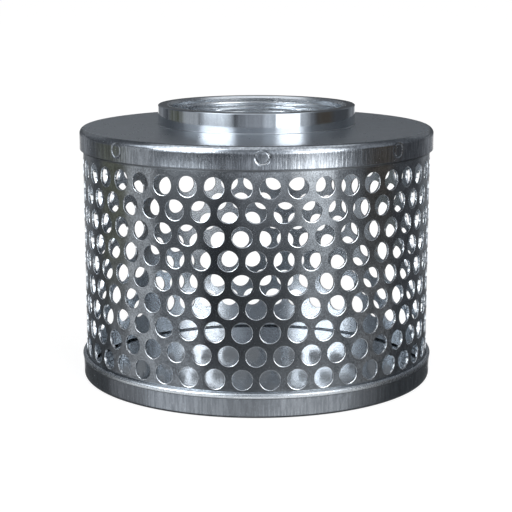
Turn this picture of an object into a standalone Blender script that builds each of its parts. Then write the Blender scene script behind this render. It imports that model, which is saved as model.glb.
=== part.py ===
"""Hose strainer: a perforated steel drum between a pressed cap and a pressed pan, with a threaded neck.

The strainer stands on its pan, with its axis on +Z and its origin in the middle of the pan's underside.
The drum is a staggered perforated sheet rolled round the axis and closed by one straight seam. The cap's
skirt goes down outside the drum's top edge. The drum's foot is turned outwards, and the pan's rim is
curled over it. The neck stands on the cap, and its lower end is rolled out under the cap's plate.
"""

import math

import bmesh
import bpy
from mathutils import Matrix, Vector

MM = 0.001

# Fits
CLEARANCE = 0.3 * MM

# Perforated sheet of the drum: round holes in rows that are set half a pitch apart
HOLE_DIAMETER = 9.525 * MM
HOLE_PITCH = 12.7 * MM
HOLES_PER_ROW = 42
HOLE_ROWS = 9
SEAM_MARGIN = 2.0 * MM
SEAM_ANGLE = math.radians(-135.7)
DRUM_SHEET = 1.2 * MM
TOP_MARGIN = 11.04 * MM
FOOT_MARGIN = 2.35 * MM
FOOT_FLARE = 1.06 * MM
FOOT_FLARE_HEIGHT = 3.7 * MM
FOOT_FLARE_POWER = 5

# Pan: flat floor, upright band and a bead curled over the drum's foot
PAN_SHEET = 0.7 * MM
PAN_BEND = 0.4 * MM
BEAD_HEIGHT = 10.6 * MM
BEAD_BEND = 0.5 * MM
BEAD_STEP = 0.3 * MM
LIP_ANGLE = 80
BAND_TAPER = 0.3 * MM

# Cap: plate with a slight crown, rounded edge and a skirt that opens a little downwards
CAP_SHEET = 0.9 * MM
CAP_BEND = 2.1 * MM
PLATE_CROWN = 1.0 * MM
SKIRT_DEPTH = 7.4 * MM
SKIRT_FLARE = 0.4 * MM

# Spot dimples that pin the skirt to the drum
DIMPLE_COUNT = 8
DIMPLE_DIAMETER = 7.6 * MM
DIMPLE_SLANT = 1.0 * MM
DIMPLE_DEPTH = 0.4 * MM
DIMPLE_MARGIN = 1.2 * MM
DIMPLE_ANGLE = math.radians(1.8)
DIMPLE_LEFT_STEP = math.radians(49.2)
DIMPLE_RIGHT_STEP = math.radians(46.3)

# Neck: bore at the minor diameter of its pipe thread, and the walls and steps outside it
NECK_BORE = 85.0 * MM
NECK_WALL = 6.25 * MM
NECK_RISE = 9.3 * MM
COLLAR_STEP = 0.25 * MM
COLLAR_HEIGHT = 1.2 * MM
COLLAR_CONE = 1.5 * MM
RIM_ROUND = 0.6 * MM
BORE_CHAMFER = 1.0 * MM
SPIGOT_WALL = 3.0 * MM
ROLL_LIP = 2.5 * MM
ROLL_THICKNESS = 1.8 * MM
SEAT_MARGIN = 0.75 * MM

# Steps of the round shapes
TURN_STEPS = 48
CAP_EDGE_STEPS = 3
BEAD_STEPS = 4
PAN_CORNER_STEPS = 2
RIM_STEPS = 2
DIMPLE_SIDES = 10

# Sizes that follow from those above
HOLE_RADIUS = HOLE_DIAMETER / 2
ROW_STEP = HOLE_PITCH * math.sin(math.radians(60))
FIRST_HOLE = SEAM_MARGIN + HOLE_RADIUS
SHEET_LENGTH = (HOLES_PER_ROW - 0.5) * HOLE_PITCH + 2 * FIRST_HOLE
DRUM_RADIUS = SHEET_LENGTH / (2 * math.pi)
HEXAGON_RADIUS = HOLE_DIAMETER * math.sqrt(math.pi / (6 * math.sqrt(3)))

FOOT_TIP_RADIUS = DRUM_RADIUS + FOOT_FLARE
FOOT_TIP_Z = BEAD_HEIGHT + BEAD_BEND - 2 * CLEARANCE
LAST_ROW_Z = FOOT_TIP_Z + FOOT_MARGIN + HOLE_RADIUS
FIRST_ROW_Z = LAST_ROW_Z + (HOLE_ROWS - 1) * ROW_STEP
DRUM_TOP_Z = FIRST_ROW_Z + HOLE_RADIUS + TOP_MARGIN

BEAD_RADIUS = FOOT_TIP_RADIUS + CLEARANCE + PAN_SHEET
SKIRT_TOP_RADIUS = DRUM_RADIUS + CLEARANCE + CAP_SHEET
CAP_EDGE_ROUND = CAP_BEND + CAP_SHEET
CAP_EDGE_Z = DRUM_TOP_Z + CAP_EDGE_ROUND
PLATE_Z = CAP_EDGE_Z + PLATE_CROWN
DIMPLE_DROP = SKIRT_DEPTH - DIMPLE_MARGIN - DIMPLE_DIAMETER / 2

BORE_RADIUS = NECK_BORE / 2
NECK_RADIUS = BORE_RADIUS + NECK_WALL
COLLAR_RADIUS = NECK_RADIUS + COLLAR_STEP
SPIGOT_RADIUS = BORE_RADIUS + SPIGOT_WALL
ROLL_RADIUS = SPIGOT_RADIUS + ROLL_LIP
PLATE_HOLE_RADIUS = SPIGOT_RADIUS + CLEARANCE
SEAT_RADIUS = max(NECK_RADIUS, ROLL_RADIUS) + SEAT_MARGIN

# Finishes: colour, metallic, roughness
ZINC_PLATE = ((0.42, 0.45, 0.50), 1.0, 0.32)
ZINC_DRUM = ((0.46, 0.48, 0.52), 1.0, 0.38)
ZINC_NECK = ((0.50, 0.52, 0.55), 1.0, 0.28)


def clear_scene():
    """Remove every object of the scene that Blender opened with."""
    for item in list(bpy.data.objects):
        bpy.data.objects.remove(item, do_unlink=True)


def new_collection(name):
    """Make a collection under the scene's own."""
    collection = bpy.data.collections.new(name)
    bpy.context.scene.collection.children.link(collection)
    return collection


def new_material(name, finish):
    """Make a Principled material from a finish of colour, metallic and roughness."""
    colour, metallic, roughness = finish
    material = bpy.data.materials.new(name)
    material.use_nodes = True
    shader = material.node_tree.nodes["Principled BSDF"]
    shader.inputs["Base Color"].default_value = (*colour, 1.0)
    shader.inputs["Metallic"].default_value = metallic
    shader.inputs["Roughness"].default_value = roughness
    return material


def new_object(name, mesh, collection, finish):
    """Make an object of a mesh, with a material of its own."""
    item = bpy.data.objects.new(name, mesh)
    collection.objects.link(item)
    mesh.materials.append(new_material(name + "_metal", finish))
    return item


def settle(item):
    """Put the mesh that the modifiers make in their place, smooth apart from its sharp edges."""
    depsgraph = bpy.context.evaluated_depsgraph_get()
    mesh = bpy.data.meshes.new_from_object(item.evaluated_get(depsgraph))
    mesh.name = item.name
    item.modifiers.clear()
    item.data = mesh
    mesh.shade_smooth()
    mesh.set_sharp_from_angle(angle=math.radians(35))


def arc(centre, radius, start, end, steps):
    """Points (r, z) of an arc round a centre, between two angles in degrees, both ends included."""
    points = []
    for step in range(steps + 1):
        angle = math.radians(start + (end - start) * step / steps)
        points.append((centre[0] + radius * math.cos(angle), centre[1] + radius * math.sin(angle)))
    return points


def profile_mesh(name, points, closed):
    """Make a mesh of a profile in the XZ plane, from its (r, z) points."""
    vertices = [(r, 0.0, z) for r, z in points]
    edges = [(index, index + 1) for index in range(len(points) - 1)]
    if closed:
        edges.append((len(points) - 1, 0))
    mesh = bpy.data.meshes.new(name)
    mesh.from_pydata(vertices, edges, [])
    return mesh


def turn(item):
    """Turn a profile once round the Z axis."""
    screw = item.modifiers.new("Turn", "SCREW")
    screw.steps = TURN_STEPS
    screw.render_steps = TURN_STEPS
    screw.use_merge_vertices = True
    screw.merge_threshold = 0.00001


def around(points):
    """Widen a profile so that the middles of the turned facets, not their edges, lie on its radii.

    The pieces that go round another one are drawn like this, so their flats keep the full clearance.
    """
    widening = 1 / math.cos(math.pi / TURN_STEPS)
    return [(r * widening, z) for r, z in points]


def thicken(item, thickness):
    """Give an open surface the thickness of its sheet, on its inner side."""
    solidify = item.modifiers.new("Sheet", "SOLIDIFY")
    solidify.thickness = thickness
    solidify.offset = -1.0
    solidify.use_even_offset = True


def on_drum(u, v):
    """Roll a point of the flat sheet, u along it and v up it, round the axis, with the flared foot."""
    angle = SEAM_ANGLE + u / DRUM_RADIUS
    depth = max(0.0, (FOOT_TIP_Z + FOOT_FLARE_HEIGHT - v) / FOOT_FLARE_HEIGHT)
    radius = DRUM_RADIUS + FOOT_FLARE * depth ** FOOT_FLARE_POWER
    return Vector((radius * math.sin(angle), -radius * math.cos(angle), v))


def hole_place(row, column):
    """Return the middle of a hole on the flat sheet, with every second row half a pitch on."""
    u = FIRST_HOLE + (column + 0.5 * (row % 2)) * HOLE_PITCH
    return u, FIRST_ROW_Z - row * ROW_STEP


def add_hole_corners(mesh, row, column):
    """Add the six corners of a hole, keyed by their angle; its area is that of the round hole."""
    u, v = hole_place(row, column)
    corners = {}
    for degrees in range(30, 390, 60):
        angle = math.radians(degrees)
        place = on_drum(u + HEXAGON_RADIUS * math.cos(angle), v + HEXAGON_RADIUS * math.sin(angle))
        corners[degrees] = mesh.verts.new(place)
    return corners


def add_ring(mesh, row, v):
    """Add a ring of vertices at a height: one in line with each hole of a row, and one on the seam."""
    ring = [mesh.verts.new(on_drum(hole_place(row, column)[0], v)) for column in range(HOLES_PER_ROW)]
    ring.append(mesh.verts.new(on_drum(SHEET_LENGTH, v)))
    return ring


def add_webs(mesh, holes):
    """Fill the sheet between the holes: three webs and two small triangles for each hole."""
    for row, line in enumerate(holes):
        for column, hole in enumerate(line):
            right = line[(column + 1) % HOLES_PER_ROW]
            mesh.faces.new((hole[330], right[210], right[150], hole[30]))
            if row + 1 == HOLE_ROWS:
                continue
            below = holes[row + 1]
            shift = row % 2
            below_left = below[(column - 1 + shift) % HOLES_PER_ROW]
            below_right = below[(column + shift) % HOLES_PER_ROW]
            mesh.faces.new((hole[270], below_right[150], below_right[90], hole[330]))
            mesh.faces.new((hole[210], below_left[90], below_left[30], hole[270]))
            mesh.faces.new((hole[330], below_right[90], right[210]))
            mesh.faces.new((below_left[30], below_right[150], hole[270]))


def add_top_margin(mesh, line, ring):
    """Fill the plain sheet between the first row of holes and the drum's top edge."""
    for column, hole in enumerate(line):
        after = (column + 1) % HOLES_PER_ROW
        right = line[after]
        mesh.faces.new((hole[90], hole[30], ring[column]))
        mesh.faces.new((right[150], right[90], ring[after]))
        if after == 0:
            mesh.faces.new((hole[30], right[150], ring[after], ring[-1], ring[column]))
        else:
            mesh.faces.new((hole[30], right[150], ring[after], ring[column]))


def add_foot_margin(mesh, line, ring):
    """Fill the plain sheet between the last row of holes and the first ring of the foot."""
    for column, hole in enumerate(line):
        after = (column + 1) % HOLES_PER_ROW
        right = line[after]
        mesh.faces.new((ring[column], hole[330], hole[270]))
        mesh.faces.new((ring[after], right[270], right[210]))
        if after == 0:
            mesh.faces.new((ring[column], ring[-1], ring[after], right[210], hole[330]))
        else:
            mesh.faces.new((ring[column], ring[after], right[210], hole[330]))


def add_band(mesh, upper, lower):
    """Fill the sheet between two rings."""
    for index, corner in enumerate(upper):
        after = (index + 1) % len(upper)
        mesh.faces.new((lower[index], lower[after], upper[after], corner))


def make_perforated_shell(collection):
    """Make the drum: the perforated sheet, rolled and seamed, with its foot turned outwards."""
    mesh = bmesh.new()
    holes = []
    for row in range(HOLE_ROWS):
        holes.append([add_hole_corners(mesh, row, column) for column in range(HOLES_PER_ROW)])
    add_webs(mesh, holes)
    add_top_margin(mesh, holes[0], add_ring(mesh, 0, DRUM_TOP_Z))
    last_row = HOLE_ROWS - 1
    hole_foot_z = LAST_ROW_Z - HEXAGON_RADIUS
    rings = []
    for share in (0.75, 0.375, 0.0):
        rings.append(add_ring(mesh, last_row, FOOT_TIP_Z + (hole_foot_z - FOOT_TIP_Z) * share))
    add_foot_margin(mesh, holes[last_row], rings[0])
    for upper, lower in zip(rings, rings[1:]):
        add_band(mesh, upper, lower)
    data = bpy.data.meshes.new("perforated_shell")
    mesh.to_mesh(data)
    mesh.free()
    shell = new_object("perforated_shell", data, collection, ZINC_DRUM)
    thicken(shell, DRUM_SHEET)
    settle(shell)
    return shell


def make_bottom_pan(collection):
    """Make the pan: curled bead over the drum's foot, band, rounded corner and flat floor."""
    bead_round = BEAD_BEND + PAN_SHEET
    bead_centre = (BEAD_RADIUS - bead_round, BEAD_HEIGHT)
    band_top_radius = BEAD_RADIUS - BEAD_STEP
    corner_round = PAN_BEND + PAN_SHEET
    bead_end = -math.degrees(math.acos((bead_round - BEAD_STEP) / bead_round))
    corner_centre = (band_top_radius - BAND_TAPER - corner_round, corner_round)
    points = arc(bead_centre, bead_round, LIP_ANGLE, bead_end, BEAD_STEPS)
    points += arc(corner_centre, corner_round, 0, -90, PAN_CORNER_STEPS)
    points += [(0.0, 0.0)]
    mesh = profile_mesh("bottom_pan", around(points), False)
    pan = new_object("bottom_pan", mesh, collection, ZINC_PLATE)
    turn(pan)
    thicken(pan, PAN_SHEET)
    settle(pan)
    return pan


def dimple_angles():
    """Return the dimples' angles: the three of the front, and the others evenly round the back."""
    angles = [DIMPLE_ANGLE - DIMPLE_LEFT_STEP, DIMPLE_ANGLE, DIMPLE_ANGLE + DIMPLE_RIGHT_STEP]
    back_count = DIMPLE_COUNT - len(angles)
    back_step = (2 * math.pi - DIMPLE_LEFT_STEP - DIMPLE_RIGHT_STEP) / (back_count + 1)
    for place in range(1, back_count + 1):
        angles.append(DIMPLE_ANGLE + DIMPLE_RIGHT_STEP + back_step * place)
    return angles


def make_dimple_cutter(collection):
    """Make the cones that press the spot dimples into the skirt, as one cutter.

    Each cone is as long outside the skirt as inside it, with the dimple's diameter on the skirt.
    """
    skirt_radius = SKIRT_TOP_RADIUS + SKIRT_FLARE * DIMPLE_DROP / SKIRT_DEPTH
    onto_skirt = Matrix.Translation((0.0, -skirt_radius, DRUM_TOP_Z - DIMPLE_DROP))
    outwards = Matrix.Rotation(math.radians(90), 4, "X")
    mesh = bmesh.new()
    for angle in dimple_angles():
        bmesh.ops.create_cone(
            mesh,
            cap_ends=True,
            segments=DIMPLE_SIDES,
            radius1=DIMPLE_DIAMETER / 2 - DIMPLE_SLANT,
            radius2=DIMPLE_DIAMETER / 2 + DIMPLE_SLANT,
            depth=2 * DIMPLE_DEPTH,
            matrix=Matrix.Rotation(angle, 4, "Z") @ onto_skirt @ outwards,
        )
    data = bpy.data.meshes.new("dimple_cutter")
    mesh.to_mesh(data)
    mesh.free()
    cutter = bpy.data.objects.new("dimple_cutter", data)
    collection.objects.link(cutter)
    cutter.hide_render = True
    cutter.display_type = "WIRE"
    return cutter


def make_top_cap(collection, cutter):
    """Make the cap: holed plate, rounded edge, and a skirt with its spot dimples."""
    edge_centre = (SKIRT_TOP_RADIUS - CAP_EDGE_ROUND, DRUM_TOP_Z)
    points = [(PLATE_HOLE_RADIUS, PLATE_Z), (SEAT_RADIUS, PLATE_Z)]
    points += arc(edge_centre, CAP_EDGE_ROUND, 90, 0, CAP_EDGE_STEPS)
    points += [(SKIRT_TOP_RADIUS + SKIRT_FLARE, DRUM_TOP_Z - SKIRT_DEPTH)]
    mesh = profile_mesh("top_cap", around(points), False)
    cap = new_object("top_cap", mesh, collection, ZINC_PLATE)
    turn(cap)
    thicken(cap, CAP_SHEET)
    settle(cap)
    dimples = cap.modifiers.new("Dimples", "BOOLEAN")
    dimples.operation = "DIFFERENCE"
    dimples.solver = "EXACT"
    dimples.object = cutter
    return cap


def make_threaded_neck(collection):
    """Make the neck: collar, body, shoulder on the plate, spigot through it and rolled lower end."""
    shoulder_z = PLATE_Z + CLEARANCE
    rim_z = shoulder_z + NECK_RISE
    collar_z = rim_z - COLLAR_HEIGHT
    roll_top_z = PLATE_Z - CAP_SHEET - CLEARANCE
    roll_foot_z = roll_top_z - ROLL_THICKNESS
    points = [(BORE_RADIUS, rim_z - BORE_CHAMFER), (BORE_RADIUS + BORE_CHAMFER, rim_z)]
    points += arc((COLLAR_RADIUS - RIM_ROUND, rim_z - RIM_ROUND), RIM_ROUND, 90, 0, RIM_STEPS)
    points += [(COLLAR_RADIUS, collar_z), (NECK_RADIUS, collar_z - COLLAR_CONE)]
    points += [(NECK_RADIUS, shoulder_z), (SPIGOT_RADIUS, shoulder_z), (SPIGOT_RADIUS, roll_top_z)]
    points += [(ROLL_RADIUS, roll_top_z), (ROLL_RADIUS, roll_foot_z), (BORE_RADIUS, roll_foot_z)]
    neck = new_object("threaded_neck", profile_mesh("threaded_neck", points, True), collection, ZINC_NECK)
    turn(neck)
    settle(neck)
    return neck


def main():
    """Build the strainer's four pieces."""
    clear_scene()
    pieces = new_collection("hose_strainer")
    cutters = new_collection("hose_strainer_cutters")
    make_perforated_shell(pieces)
    make_bottom_pan(pieces)
    make_top_cap(pieces, make_dimple_cutter(cutters))
    make_threaded_neck(pieces)


main()
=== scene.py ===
"""Hose strainer of zinc-plated steel, standing on a pale floor in plain soft studio light.

The four pieces take the place of the frame's plain solids and stay inside their sizes: the perforated
drum, the pressed cap with its spot dimples, the pressed pan with its curled bead, and the threaded neck.
Lengths are in metres, and angles round the axis are measured from the front, -Y, towards +X.
"""

import logging
import math
from dataclasses import dataclass, field
from enum import Enum
from typing import Callable

import bpy
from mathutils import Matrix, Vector


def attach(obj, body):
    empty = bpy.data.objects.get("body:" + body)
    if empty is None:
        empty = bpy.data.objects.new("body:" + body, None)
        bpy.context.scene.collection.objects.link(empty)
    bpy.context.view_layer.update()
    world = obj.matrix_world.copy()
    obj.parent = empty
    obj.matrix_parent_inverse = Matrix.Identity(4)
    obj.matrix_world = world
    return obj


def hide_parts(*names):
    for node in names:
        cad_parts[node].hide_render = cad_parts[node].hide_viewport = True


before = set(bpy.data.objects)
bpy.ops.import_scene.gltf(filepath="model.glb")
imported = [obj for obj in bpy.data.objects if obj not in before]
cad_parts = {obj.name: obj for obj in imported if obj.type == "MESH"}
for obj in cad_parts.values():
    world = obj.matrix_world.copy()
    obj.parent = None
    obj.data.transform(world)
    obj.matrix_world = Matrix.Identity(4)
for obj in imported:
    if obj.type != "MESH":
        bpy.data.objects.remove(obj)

LOG = logging.getLogger("strainer")
MM = 0.001
FULL_TURN = 2 * math.pi

Point = tuple[float, float]
Socket = bpy.types.NodeSocket
Colour = tuple[float, float, float]


class Measure(Enum):
    """What tells one area of a piece from the rest."""

    HEIGHT = "height over the floor"
    RADIUS = "distance from the axis"


# Profiles and meshes


def arc(centre: Point, radius: float, start: float, end: float, steps: int) -> list[Point]:
    """Give the points of an arc in the (r, z) plane, with both ends.

    Args:
        centre: Middle of the arc.
        radius: Radius of the arc.
        start: Angle of the first point, in degrees.
        end: Angle of the last point, in degrees.
        steps: Number of parts that the arc is cut into.

    Returns:
        The points in order.
    """
    points = []
    for step in range(steps + 1):
        angle = math.radians(start + (end - start) * step / steps)
        points.append((centre[0] + radius * math.cos(angle), centre[1] + radius * math.sin(angle)))
    return points


def straight(start: Point, end: Point, steps: int = 1) -> list[Point]:
    """Give the inner points of a straight part of a profile, with one close to each end to keep it flat.

    Args:
        start: Point before the straight part, which isn't repeated.
        end: Point after it, which isn't repeated.
        steps: Number of even parts between the two points that lie close to the ends.

    Returns:
        The points in order.
    """
    near = min(0.1, 0.15 * MM / math.dist(start, end))
    shares = [near + (1 - 2 * near) * step / steps for step in range(steps + 1)]
    return [(start[0] + (end[0] - start[0]) * share, start[1] + (end[1] - start[1]) * share) for share in shares]


def on_axis(radius: float, angle: float, height: float) -> Vector:
    """Give the point at a radius, an angle from the front and a height."""
    return Vector((radius * math.sin(angle), -radius * math.cos(angle), height))


def make_piece(name: str, points: list[Vector], faces: list[tuple[int, ...]], sharp: float) -> bpy.types.Object:
    """Make a smooth-shaded mesh piece in the scene.

    Args:
        name: Name of the piece.
        points: Places of its vertices.
        faces: Faces, as numbers of vertices.
        sharp: Angle in degrees from which an edge between two faces stays sharp.

    Returns:
        The new object.
    """
    mesh = bpy.data.meshes.new(name)
    mesh.from_pydata([tuple(point) for point in points], [], faces)
    mesh.validate()
    mesh.shade_smooth()
    mesh.set_sharp_from_angle(angle=math.radians(sharp))
    piece = bpy.data.objects.new(name, mesh)
    bpy.context.scene.collection.objects.link(piece)
    return piece


@dataclass
class Turning:
    """A closed profile turned round the axis, with a way to press or cut its surface locally.

    Attributes:
        profile: The (r, z) points of the closed profile, in order.
        angles: The angles of the turned columns, without repeating the first.
        shift: Moves a point of the surface, given its profile index, radius, angle and height.
    """

    profile: list[Point]
    angles: list[float]
    shift: Callable[[int, float, float, float], tuple[float, float]] | None = None

    def mesh(self) -> tuple[list[Vector], list[tuple[int, ...]]]:
        """Give the vertices and the faces of the turned surface.

        Returns:
            The vertices, and the faces as numbers of vertices. A profile point on the axis becomes one vertex.
        """
        points: list[Vector] = []
        rings: list[list[int]] = []
        for index, (radius, height) in enumerate(self.profile):
            if radius < 1e-7:
                rings.append([len(points)] * len(self.angles))
                points.append(Vector((0.0, 0.0, height)))
                continue
            ring = []
            for angle in self.angles:
                place = (radius, height) if self.shift is None else self.shift(index, radius, angle, height)
                ring.append(len(points))
                points.append(on_axis(place[0], angle, place[1]))
            rings.append(ring)
        faces = []
        count = len(self.angles)
        for index, ring in enumerate(rings):
            after = rings[(index + 1) % len(rings)]
            if ring[0] == ring[-1] and after[0] == after[-1]:
                continue
            for column in range(count):
                right = (column + 1) % count
                corners = (ring[column], after[column], after[right], ring[right])
                kept = tuple(dict.fromkeys(corners))
                faces.append(kept)
        return points, faces


def even_angles(count: int) -> list[float]:
    """Give a number of even angles round the full turn."""
    return [FULL_TURN * index / count for index in range(count)]


# Sizes that the pieces share


@dataclass(frozen=True)
class Strainer:
    """Driving sizes of the strainer, the same as those of its solids.

    Attributes:
        hole: Diameter of the sheet's holes.
        pitch: Distance between the middles of neighbouring holes.
        holes: Number of holes in a row.
        rows: Number of rows.
        seam_margin: Plain sheet from the seam to the nearest hole's edge.
        seam_angle: Place of the upright seam round the axis.
        sheet: Thickness of the drum's sheet.
        top_margin: Plain sheet above the first row of holes.
        foot_margin: Plain sheet below the last row of holes.
        foot_flare: How far the solid's foot is turned outwards, which the bead follows.
        foot_tip: Height of the solid's lower edge, from which the rows of holes are set.
        clearance: Gap between two pieces.
    """

    hole: float = 9.525 * MM
    pitch: float = 12.7 * MM
    holes: int = 42
    rows: int = 9
    seam_margin: float = 2.0 * MM
    seam_angle: float = math.radians(-135.7)
    sheet: float = 1.2 * MM
    top_margin: float = 11.04 * MM
    foot_margin: float = 2.35 * MM
    foot_flare: float = 1.06 * MM
    foot_tip: float = 10.5 * MM
    clearance: float = 0.3 * MM

    @property
    def hole_radius(self) -> float:
        """Radius of a hole."""
        return self.hole / 2

    @property
    def row_step(self) -> float:
        """Height between two rows of holes."""
        return self.pitch * math.sin(math.radians(60))

    @property
    def first_hole(self) -> float:
        """Distance along the sheet from its end to the middle of the first hole."""
        return self.seam_margin + self.hole_radius

    @property
    def length(self) -> float:
        """Length of the flat sheet, which is the drum's circumference."""
        return (self.holes - 0.5) * self.pitch + 2 * self.first_hole

    @property
    def radius(self) -> float:
        """Outer radius of the drum."""
        return self.length / FULL_TURN

    @property
    def last_row(self) -> float:
        """Height of the last row of holes."""
        return self.foot_tip + self.foot_margin + self.hole_radius

    @property
    def first_row(self) -> float:
        """Height of the first row of holes."""
        return self.last_row + (self.rows - 1) * self.row_step

    @property
    def drum_top(self) -> float:
        """Height of the drum's top edge."""
        return self.first_row + self.hole_radius + self.top_margin

    @property
    def foot_radius(self) -> float:
        """Outer radius of the foot's edge."""
        return self.radius + self.foot_flare


@dataclass
class Drum:
    """The perforated drum, with truly round holes whose edges are rolled over, most at their foot.

    Attributes:
        sizes: Sizes of the strainer.
        spokes: Points round a hole, a multiple of six.
        roll: Width of the rolled-over edge of a hole at its bottom, where it is widest.
        roll_sag: How much it narrows upwards, as a share from -1 for all to 0 for nothing.
        roll_border: Flat sheet kept round the rolled-over edge.
        dish: How far the sheet sinks towards a hole.
        break_out: How far the punch opens a hole towards the inner side.
        foot: Height of its lower edge, inside the pan.
        seam_columns: Columns of faces across the plain strip at the seam.
    """

    sizes: Strainer
    spokes: int = 36
    roll: float = 0.27 * MM
    roll_sag: float = -0.6
    roll_border: float = 0.04 * MM
    dish: float = 0.004 * MM
    break_out: float = 0.04 * MM
    foot: float = 1.7 * MM
    seam_columns: int = 3
    points: list[Vector] = field(default_factory=list)
    faces: list[tuple[int, ...]] = field(default_factory=list)
    known: dict[tuple[int, int, int], int] = field(default_factory=dict)

    def vertex(self, u: float, v: float, depth: float) -> int:
        """Give the number of the vertex at a place of the flat sheet, made once and shared.

        Args:
            u: Distance along the sheet.
            v: Height on the sheet.
            depth: Depth below the sheet's outer side.

        Returns:
            The vertex's number.
        """
        sizes = self.sizes
        along = u % sizes.length
        if sizes.length - along < 1e-7:
            along = 0.0
        key = (round(along * 1e7), round(v * 1e7), round(depth * 1e7))
        if key not in self.known:
            place = on_axis(sizes.radius - depth, sizes.seam_angle + along / sizes.radius, v)
            self.known[key] = len(self.points)
            self.points.append(place)
        return self.known[key]

    def strip(self, first: list[int], second: list[int], closed: bool) -> None:
        """Join two lines of vertices with faces, those of the first line on the left seen from outside.

        Args:
            first: The one line.
            second: The other line, with as many vertices.
            closed: Whether the lines are rings.
        """
        count = len(first) if closed else len(first) - 1
        for index in range(count):
            after = (index + 1) % len(first)
            corners = (first[index], second[index], second[after], first[after])
            kept = tuple(dict.fromkeys(corners))
            if len(kept) > 2:
                self.faces.append(kept)

    def edge_distance(self, degrees: float, lowest: float | None) -> float:
        """Give the distance from a hole's middle to the edge of its six-sided cell.

        Args:
            degrees: Direction on the flat sheet.
            lowest: How far below the middle the cell may reach, or None.

        Returns:
            The distance.
        """
        turned = (degrees + 30) % 60 - 30
        distance = self.sizes.pitch / 2 / math.cos(math.radians(turned))
        if lowest is not None:
            drop = -math.sin(math.radians(degrees))
            if drop * distance > lowest:
                distance = lowest / drop
        return distance

    def cell(self, u: float, v: float, lowest: float | None) -> None:
        """Make the sheet round one hole, from its cell's edge to the hole's wall and the inner side.

        Args:
            u: Middle of the hole along the sheet.
            v: Height of the hole's middle.
            lowest: How far below the middle the cell may reach, or None.
        """
        sizes = self.sizes
        hole = sizes.hole_radius
        rings: list[list[int]] = [[] for _ in range(7)]
        for spoke in range(self.spokes):
            degrees = 360 * spoke / self.spokes
            cos = math.cos(math.radians(degrees))
            sin = math.sin(math.radians(degrees))
            edge = self.edge_distance(degrees, lowest)
            round_over = self.roll * (1 + self.roll_sag * sin) / (1 - self.roll_sag)
            start = hole + round_over
            stations = (
                (edge, 0.0),
                (start + self.roll_border, self.dish),
                (start, self.dish),
                (hole + 0.13 * round_over, self.dish + 0.32 * round_over),
                (hole, 0.8 * round_over),
                (hole + self.break_out, sizes.sheet),
                (edge, sizes.sheet),
            )
            for ring, (distance, depth) in zip(rings, stations):
                ring.append(self.vertex(u + distance * cos, v + distance * sin, depth))
        for outer, inner in zip(rings, rings[1:]):
            self.strip(outer, inner, True)

    def line(self, places: list[Point], depth: float) -> list[int]:
        """Give the vertices of a line of places on the flat sheet, at one depth."""
        return [self.vertex(u, v, depth) for u, v in places]

    def span(self, lines: list[list[Point]]) -> None:
        """Fill the plain sheet between lines of places, on both sides.

        Args:
            lines: Lines with as many places each, from the top down or from the left on.
        """
        for first, second in zip(lines, lines[1:]):
            self.strip(self.line(first, 0.0), self.line(second, 0.0), False)
            self.strip(self.line(second, self.sizes.sheet), self.line(first, self.sizes.sheet), False)

    def row_edge(self, row: int, start: int, end: int, lowest: float | None) -> list[Point]:
        """Give the upper or lower edge of a row's cells, with the plain strip at the seam.

        Args:
            row: Number of the row.
            start: Direction of a cell's first point, in degrees.
            end: Direction of its last point.
            lowest: How far below the middle the cells may reach, or None.

        Returns:
            The places on the flat sheet, once round.
        """
        sizes = self.sizes
        step = 360 // self.spokes
        step = step if end > start else -step
        places: list[Point] = []
        for column in range(sizes.holes):
            u, v = self.hole_place(row, column)
            for degrees in range(start, end, step):
                distance = self.edge_distance(degrees, lowest)
                angle = math.radians(degrees)
                places.append((u + distance * math.cos(angle), v + distance * math.sin(angle)))
        last_u, height = places[0]
        last_u += sizes.holes * sizes.pitch
        gap = sizes.length - sizes.holes * sizes.pitch
        for column in range(self.seam_columns):
            places.append((last_u + gap * column / self.seam_columns, height))
        places.append((places[0][0] + sizes.length, height))
        return places

    def hole_place(self, row: int, column: int) -> Point:
        """Give the middle of a hole on the flat sheet, with every second row half a pitch on."""
        sizes = self.sizes
        return sizes.first_hole + (column + 0.5 * (row % 2)) * sizes.pitch, sizes.first_row - row * sizes.row_step

    def seam_edge(self) -> list[Point]:
        """Give the zigzag edge of the cells along the seam, from the first row down to the last."""
        step = 360 // self.spokes
        places: list[Point] = []
        for row in range(self.sizes.rows):
            u, v = self.hole_place(row, self.sizes.holes - 1)
            first = 90 if row % 2 else 30
            last = -90 if row % 2 else -30
            for degrees in range(first, last - step, -step):
                distance = self.edge_distance(degrees, None)
                angle = math.radians(degrees)
                place = (u + distance * math.cos(angle), v + distance * math.sin(angle))
                if places and math.dist(place, places[-1]) < 1e-7:
                    continue
                places.append(place)
        return places

    def build(self) -> bpy.types.Object:
        """Make the drum's mesh piece.

        Returns:
            The piece, without a finish.
        """
        sizes = self.sizes
        lowest = sizes.hole_radius + 0.65 * MM
        for row in range(sizes.rows):
            for column in range(sizes.holes):
                u, v = self.hole_place(row, column)
                self.cell(u, v, lowest if row == sizes.rows - 1 else None)
        seam = self.seam_edge()
        gap = sizes.length - sizes.holes * sizes.pitch
        shifts = [gap * column / self.seam_columns for column in range(self.seam_columns + 1)]
        self.span([[(u + shift, v) for u, v in seam] for shift in shifts])
        crest = self.row_edge(0, 150, 30, None)
        tops = [[(u, v + (sizes.drum_top - v) * share) for u, v in crest] for share in (1.0, 0.97, 0.5, 0.0)]
        self.span(tops)
        base = self.row_edge(sizes.rows - 1, 210, 330, lowest)
        feet = [[(u, v + (self.foot - v) * share) for u, v in base] for share in (0.0, 0.3, 0.97, 1.0)]
        self.span(feet)
        self.strip(self.line(tops[0], sizes.sheet), self.line(tops[0], 0.0), False)
        self.strip(self.line(feet[-1], 0.0), self.line(feet[-1], sizes.sheet), False)
        drum = make_piece("drum", self.points, self.faces, 48)
        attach(drum, "root")
        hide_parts("perforated_shell")
        return drum


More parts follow.
